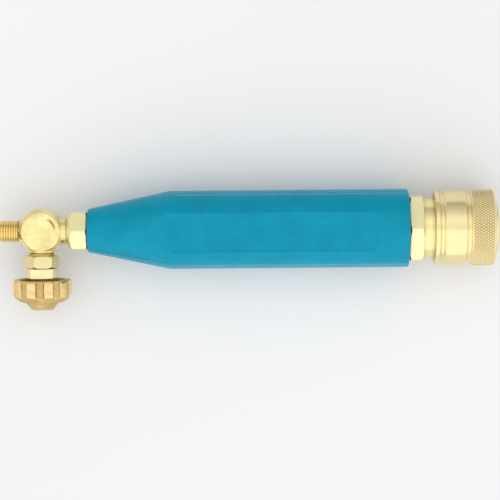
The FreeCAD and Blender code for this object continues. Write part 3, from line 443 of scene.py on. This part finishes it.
# ---- mesh tools ------------------------------------------------------------------------------------------


def new_piece(name, verts, faces, material, node, body):
    """A mesh that stands for a CAD node, rides on its body and takes the material it is given."""
    mesh = bpy.data.meshes.new(name)
    mesh.from_pydata(verts, [], faces)
    mesh.update()
    piece = bpy.data.objects.new(name, mesh)
    bpy.context.scene.collection.objects.link(piece)
    finish_piece(piece, material, node, body)
    return piece


def finish_piece(piece, material, node, body):
    """Smooth shading, material, the body it rides on, and the CAD node it stands for."""
    mesh = piece.data
    mesh.polygons.foreach_set("use_smooth", [True] * len(mesh.polygons))
    paint_piece(piece, materials[material])
    if body is not None:
        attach(piece, body)
    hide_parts(node)


def keep_mark(piece, depth, name="groove"):
    """Keeps a share at each point for the material: how deep a groove is, or how near a seam."""
    made = piece.data.attributes.new(name, "FLOAT", "POINT")
    made.data.foreach_set("value", np.asarray(depth, dtype=np.float32).ravel())


def wrap_faces(rows, columns):
    """Quads of a grid that closes on itself both ways, as a ring with a closed section does."""
    row, column = np.meshgrid(np.arange(rows), np.arange(columns), indexing="ij")
    row_next, column_next = (row + 1) % rows, (column + 1) % columns
    quads = np.stack(
        [
            row * columns + column,
            row * columns + column_next,
            row_next * columns + column_next,
            row_next * columns + column,
        ],
        axis=-1,
    )
    return quads.reshape(-1, 4)


def ring_mesh(profile, columns):
    """A closed outline of (x, radius) turned about X: grids of x, radius and angle, one row a point."""
    profile = np.array(profile)
    angle = np.arange(columns) * 2 * math.pi / columns
    x = np.repeat(profile[:, :1], columns, axis=1)
    radius = np.repeat(profile[:, 1:], columns, axis=1)
    return x, radius, np.repeat(angle[None, :], len(profile), axis=0)


def as_verts(x, radius, angle):
    """Places on the torch's axis from grids of x, radius and angle; angle 0 is +Z and 90 degrees -Y."""
    return np.stack([x, -radius * np.sin(angle), radius * np.cos(angle)], axis=-1).reshape(-1, 3)


def rounded_outline(corners, step):
    """A closed outline with rounded corners from (x, radius, corner radius) points, split into steps."""
    count = len(corners)
    outline = []
    for i in range(count):
        before = Vector(corners[i - 1][:2])
        here = Vector(corners[i][:2])
        after = Vector(corners[(i + 1) % count][:2])
        reach = corners[i][2]
        to_before, to_after = (before - here), (after - here)
        reach = min(reach, 0.45 * to_before.length, 0.45 * to_after.length)
        if reach <= 0:
            outline.append(here)
            continue
        start = here + to_before.normalized() * reach
        end = here + to_after.normalized() * reach
        pieces = 5
        for k in range(pieces + 1):
            t = k / pieces
            outline.append(start * (1 - t) ** 2 + here * (2 * t * (1 - t)) + end * t**2)
    fine = []
    for i, here in enumerate(outline):
        after = outline[(i + 1) % len(outline)]
        pieces = max(1, math.ceil((after - here).length / step))
        fine.extend(here.lerp(after, k / pieces) for k in range(pieces))
    return [(p.x, p.y) for p in fine]


# ---- grip ------------------------------------------------------------------------------------------------


def make_grip():
    """Moulded grip: cone and barrel with two flat thumb panels, sloping end walls and parting lines."""
    low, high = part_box("handle_grip")
    start, end = low.x, high.x
    barrel = high.y
    small = 9.15 * MM
    shoulder = -138.55 * MM
    inner = 7.1 * MM
    cavity = 12.0 * MM
    panel = 14.33 * MM
    wall_foot, wall_slope = -52.55 * MM, 3.5 / 2.27
    corners = [
        (start, inner, 0.2 * MM),
        (start, small, 1.1 * MM),
        (shoulder, barrel, 1.2 * MM),
        (end, barrel, 1.0 * MM),
        (end, cavity, 0.2 * MM),
        (end - 3.0 * MM, cavity, 0.0),
        (end - 3.0 * MM, cavity + 1.5 * MM, 0.0),
        (start + 7.3 * MM, inner + 0.9 * MM, 0.0),
        (start + 7.3 * MM, inner, 0.0),
    ]
    x, radius, angle = ring_mesh(rounded_outline(corners, 0.6 * MM), 720)
    # fine raised seams along the barrel, where the mould's side slides met
    outer = radius > 13.0 * MM
    seam_rise, seam_half_width = 0.14 * MM, 1.7
    seam_highlight = np.zeros_like(radius)
    for seam in (61.0, 119.0, 241.0, 295.4):
        away = np.abs((np.degrees(angle) - seam + 180) % 360 - 180)
        rise = seam_rise * np.exp(-((away / seam_half_width) ** 2))
        inside = (x > shoulder + 2 * MM) & (x < end - 1.2 * MM) & outer
        radius = radius + np.where(inside, rise, 0.0)
        seam_highlight = np.maximum(seam_highlight, np.where(inside, rise / seam_rise, 0.0))
    height = radius * np.abs(np.cos(angle))
    limit = panel + np.clip(x - wall_foot, 0.0, None) / wall_slope
    # rounding where the wall meets the panel, and where the panel's long edges meet the barrel
    soft = 0.25 * MM
    limit = panel + 0.5 * ((limit - panel) + np.sqrt((limit - panel) ** 2 + soft**2) - soft)
    edge = 0.12 * MM
    over = height - limit
    flattened = limit + 0.5 * (over - np.sqrt(over**2 + edge**2))
    share = np.where(height > 12.5 * MM, flattened / np.maximum(height, MM), 1.0)
    radius = np.where(radius > 12.4 * MM, radius * share, radius)
    verts = as_verts(x, radius, angle)
    grip = new_piece("grip_shell", verts, wrap_faces(*x.shape), "teal_plastic", "handle_grip", "torch")
    # painted shade lines: along the panels' long edges, and one line down the cone on the hand wheel's side
    edge_half_width, edge_share = 0.22 * MM, 0.6
    shade_line_bearing, shade_line_half_width = 54.0, 2.4
    edge_shade = edge_share * np.exp(-((over / edge_half_width) ** 2))
    long_edge = (height > 12.5 * MM) & (x > shoulder + 1.5 * MM) & (x < wall_foot)
    cone_shade_line = np.exp(-(((np.degrees(angle) - shade_line_bearing) / shade_line_half_width) ** 2))
    on_cone = (x > start + 1.2 * MM) & (x < shoulder) & (radius > 9.0 * MM)
    keep_mark(grip, np.where(long_edge, edge_shade, 0.0) + np.where(on_cone, cone_shade_line, 0.0))
    # the seams' nearness, which the material paints paler as a highlight
    keep_mark(grip, seam_highlight, "seam")


# ---- sliding sleeve --------------------------------------------------------------------------------------


KNURL_STARTS = 84
KNURL_LENGTH = 1.95 * MM
KNURL_DEPTH = 0.34 * MM
KNURL_FADE = 0.35 * MM
COLUMNS_PER_START = 12


def knurl(x, angle, first, last):
    """Depth of a diamond knurl, from 0 on its crests to 1: two families of crossing grooves."""
    turn = KNURL_STARTS * angle / (2 * math.pi)
    along = x / KNURL_LENGTH
    height = np.ones_like(x)
    for phase in (turn + along, turn - along):
        off = np.abs((phase % 1.0) - 0.5) * 2
        height = np.minimum(height, np.clip((1 - off) * 1.35, 0.0, 1.0))
    fade = np.clip((x - first) / KNURL_FADE, 0, 1) * np.clip((last - x) / KNURL_FADE, 0, 1)
    return (1 - height) * fade


def make_sleeve():
    """Pull-back sleeve: rounded finger grooves, plain bands and a real diamond knurl."""
    low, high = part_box("coupling_sleeve")
    back, front = low.x, high.x
    band, floor, crown = 15.8 * MM, 14.9 * MM, high.z
    knurled = 16.0 * MM
    knurl_back, knurl_front = -11.05 * MM, -1.95 * MM
    corners = [
        (back, 13.9 * MM, 0.15 * MM),
        (back, band, 0.5 * MM),
        (-25.0 * MM, band, 0.25 * MM),
        (-24.2 * MM, floor, 0.7 * MM),
        (-23.2 * MM, floor, 0.7 * MM),
        (-22.35 * MM, band, 0.25 * MM),
        (-13.85 * MM, band, 0.25 * MM),
        (-13.05 * MM, floor, 0.6 * MM),
        (-12.0 * MM, floor, 0.7 * MM),
        (knurl_back, knurled, 0.2 * MM),
        (knurl_front, crown, 0.5 * MM),
        (front, 15.1 * MM, 0.3 * MM),
        (front, 12.65 * MM, 0.2 * MM),
        (-4.6 * MM, 12.65 * MM, 0.0),
        (-4.6 * MM, 12.15 * MM, 0.0),
        (-7.4 * MM, 11.66 * MM, 0.0),
        (-10.85 * MM, 11.66 * MM, 0.0),
        (-10.85 * MM, 13.25 * MM, 0.0),
        (-21.15 * MM, 13.25 * MM, 0.0),
        (-21.15 * MM, 12.71 * MM, 0.0),
        (-25.65 * MM, 12.71 * MM, 0.0),
    ]
    x, radius, angle = ring_mesh(rounded_outline(corners, 0.14 * MM), KNURL_STARTS * COLUMNS_PER_START)
    outside = (radius > 15.3 * MM) & (x > knurl_back)
    depth = np.where(outside, knurl(x, angle, knurl_back, knurl_front), 0.0)
    verts = as_verts(x, radius - KNURL_DEPTH * depth, angle)
    sleeve = new_piece(
        "sliding_sleeve", verts, wrap_faces(*x.shape), "sleeve_brass", "coupling_sleeve", "sleeve"
    )
    # the knurl's depth, which the material darkens as painted shade in the groove roots
    keep_mark(sleeve, depth)


# ---- springs ---------------------------------------------------------------------------------------------


def make_spring(name, node, wire, mid, closed, turns):
    """A compression spring along X with closed end coils, spanning its CAD node's length."""
    low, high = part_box(node)
    start, end = low.x + wire, high.x - wire
    steps, sides = 64, 10
    total = turns + 2 * closed
    share = np.linspace(0.0, 1.0, int(total * steps) + 1)
    turn = share * total
    # the end coils lie nearly flat, a wire's width apart, and the coils between share what is left
    flat = 2.04 * wire
    knots = [0.0, closed, total - closed, total]
    reach = [0.0, flat * closed, (end - start) - flat * closed, end - start]
    x = start + np.interp(turn, knots, reach)
    angle = turn * 2 * math.pi
    around = np.arange(sides) * 2 * math.pi / sides
    radius = mid + wire * np.cos(around)[None, :]
    verts = as_verts(
        x[:, None] + wire * np.sin(around)[None, :],
        np.repeat(radius, len(share), axis=0),
        np.repeat(angle[:, None], sides, axis=1),
    )
    faces = [tuple(quad) for quad in wrap_faces(len(share), sides)[: (len(share) - 1) * sides]]
    faces.append(tuple(range(sides)))
    faces.append(tuple(range(len(verts) - 1, len(verts) - 1 - sides, -1)))
    piece = new_piece(name, verts, faces, "steel", node, None)
    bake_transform(piece)


# ---- valve -----------------------------------------------------------------------------------------------


def cast_copy(name, node, voxel, smooth_turns):
    """A copy of a CAD node's mesh, remeshed and softened as a casting or forging is."""
    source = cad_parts[node]
    mesh = source.data.copy()
    mesh.transform(source.matrix_world)
    piece = bpy.data.objects.new(name, mesh)
    bpy.context.scene.collection.objects.link(piece)
    remesh = piece.modifiers.new("remesh", "REMESH")
    remesh.mode = "VOXEL"
    remesh.voxel_size = voxel
    soften = piece.modifiers.new("soften", "SMOOTH")
    soften.factor = 0.5
    soften.iterations = smooth_turns
    made = bpy.data.meshes.new_from_object(piece.evaluated_get(bpy.context.evaluated_depsgraph_get()))
    piece.modifiers.clear()
    piece.data = made
    made.name = name
    return piece


def get_verts(piece):
    verts = np.empty(len(piece.data.vertices) * 3)
    piece.data.vertices.foreach_get("co", verts)
    return verts.reshape(-1, 3)


def put_verts(piece, verts):
    piece.data.vertices.foreach_set("co", verts.ravel())
    piece.data.update()


def ripple(verts, wave, height, seed):
    """A smooth, seeded unevenness of the surface, as three crossing sine waves in each direction."""
    rng = np.random.default_rng(seed)
    total = np.zeros(len(verts))
    for _ in range(9):
        direction = rng.normal(size=3)
        direction *= 2 * math.pi / (wave * rng.uniform(0.7, 1.5) * np.linalg.norm(direction))
        total += np.sin(verts @ direction + rng.uniform(0, 2 * math.pi))
    return height * total / 3


def normals_of(piece):
    normals = np.empty(len(piece.data.vertices) * 3)
    piece.data.vertices.foreach_get("normal", normals)
    return normals.reshape(-1, 3)


THREAD_CREST = 4.76 * MM
THREAD_PITCH = 1.058 * MM
THREAD_END = -202.85 * MM
INLET_BORE, INLET_FLARE, INLET_DEPTH = 2.2 * MM, 3.1 * MM, 8.0 * MM
BORE_REACH = 3.3 * MM


def make_valve_body():
    """Forged body with a soft rim, a trimmed edge, a draft step and a crescent beside the outlet."""
    piece = cast_copy("valve_forging", "valve_body", 0.26 * MM, 5)
    verts = get_verts(piece)
    normals = normals_of(piece)
    x, y, z = verts[:, 0] - stem_x, verts[:, 1], verts[:, 2]
    radius = np.hypot(x, y)
    face = np.clip((np.abs(z) - 5.0 * MM) / (0.7 * MM), 0, 1)
    bearing = np.degrees(np.arctan2(y, x))
    # shallow pressed crescent towards the outlet, with its raised lip
    crescent_bearing, crescent_half_length = 36, 25
    crescent_radius, lip_radius = 6.2 * MM, 6.95 * MM
    near = np.exp(-(((bearing - crescent_bearing) / crescent_half_length) ** 4))
    groove = np.exp(-(((radius - crescent_radius) / (0.30 * MM)) ** 2))
    lip = np.exp(-(((radius - lip_radius) / (0.36 * MM)) ** 2))
    verts[:, 2] += np.sign(z) * face * near * (0.30 * MM * lip - 0.80 * MM * groove)
    # chord-like draft step at the lower left
    chord_bearing = math.radians(218)
    chord = x * math.cos(chord_bearing) + y * math.sin(chord_bearing)
    step = 1 / (1 + np.exp(-np.clip((chord - 7.7 * MM) / (0.10 * MM), -30, 30)))
    rim = np.clip((np.abs(z) - 2.0 * MM) / MM, 0, 1)
    verts[:, 2] -= np.sign(z) * rim * step * 0.9 * MM
    verts += normals * ripple(verts, 1.8 * MM, 0.030 * MM, 5)[:, None]
    verts += normals * ripple(verts, 0.55 * MM, 0.008 * MM, 6)[:, None]
    # the hose thread is its own piece, so the core under it is turned down
    core = np.hypot(verts[:, 1], verts[:, 2])
    threaded = (verts[:, 0] < THREAD_END + 0.15 * MM) & (core > BORE_REACH)
    shrink = np.where(threaded, np.minimum(1.0, 3.95 * MM / np.maximum(core, MM)), 1.0)
    verts[:, 1] *= shrink
    verts[:, 2] *= shrink
    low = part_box("valve_body")[0].x
    verts[:, 0] = np.maximum(verts[:, 0], low + 0.12 * MM)
    # the gas inlet is drilled and countersunk after forging, so its wall is true
    bored = (verts[:, 0] < low + INLET_DEPTH) & (core > 1.7 * MM) & (core < BORE_REACH)
    wall = np.maximum(INLET_BORE, INLET_FLARE - (verts[:, 0] - low))
    widen = np.where(bored, wall / np.maximum(core, MM), 1.0)
    verts[:, 1] *= widen
    verts[:, 2] *= widen
    put_verts(piece, verts)
    finish_piece(piece, "forged_brass", "valve_body", "torch")


def make_hose_thread():
    """The inlet's left-hand helical thread, fading in at its chamfer."""
    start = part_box("valve_body")[0].x
    end = THREAD_END
    bore = 3.15 * MM
    root = 4.12 * MM
    columns = 120
    rows = int((end - start) / (THREAD_PITCH / 22))
    along = np.linspace(start, end, rows)
    angle = np.arange(columns) * 2 * math.pi / columns
    x, turn = np.meshgrid(along, angle, indexing="ij")
    phase = ((x / THREAD_PITCH) + turn / (2 * math.pi)) % 1.0
    wave = np.clip(np.abs(phase - 0.5) * 2 * 1.35 - 0.15, 0.0, 1.0)
    lead = np.clip((x - start) / (0.75 * MM), 0, 1)
    radius = root + (THREAD_CREST - root) * wave * (0.35 + 0.65 * lead)
    radius = np.minimum(radius, 4.2 * MM + (x - start) * 0.9)
    inner_x = np.repeat(np.array([end, start])[:, None], columns, axis=1)
    inner_radius = np.full((2, columns), bore)
    inner_turn = np.repeat(angle[None, :], 2, axis=0)
    verts = as_verts(
        np.concatenate([x, inner_x]),
        np.concatenate([radius, inner_radius]),
        np.concatenate([turn, inner_turn]),
    )
    piece = new_piece(
        "hose_thread", verts, wrap_faces(rows + 2, columns), "thread_brass", "valve_body", "torch"
    )
    # the thread's depth, which the material darkens as painted shade in the roots
    keep_mark(piece, np.concatenate([1 - wave, np.zeros((2, columns))]))


def make_knob():
    """Cast hand wheel: softened flutes and rim, with the slight unevenness of a sand casting."""
    piece = cast_copy("hand_wheel", "knob", 0.24 * MM, 2)
    verts = get_verts(piece)
    normals = normals_of(piece)
    verts += normals * ripple(verts, 3.0 * MM, 0.07 * MM, 11)[:, None]
    verts += normals * ripple(verts, 0.8 * MM, 0.012 * MM, 12)[:, None]
    put_verts(piece, verts)
    finish_piece(piece, "cast_brass", "knob", "stem")


stem_x = (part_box("valve_stem")[0].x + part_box("valve_stem")[1].x) / 2

add_camera()
add_studio()
materials = make_materials()
paint_nodes()
make_valve_body()
make_hose_thread()
make_knob()
make_grip()
make_sleeve()
make_spring("sleeve_coil", "sleeve_spring", 0.55 * MM, 12.35 * MM, 0.9, 2.2)
make_spring("poppet_coil", "poppet_spring", 0.48 * MM, 4.4 * MM, 0.9, 2.6)
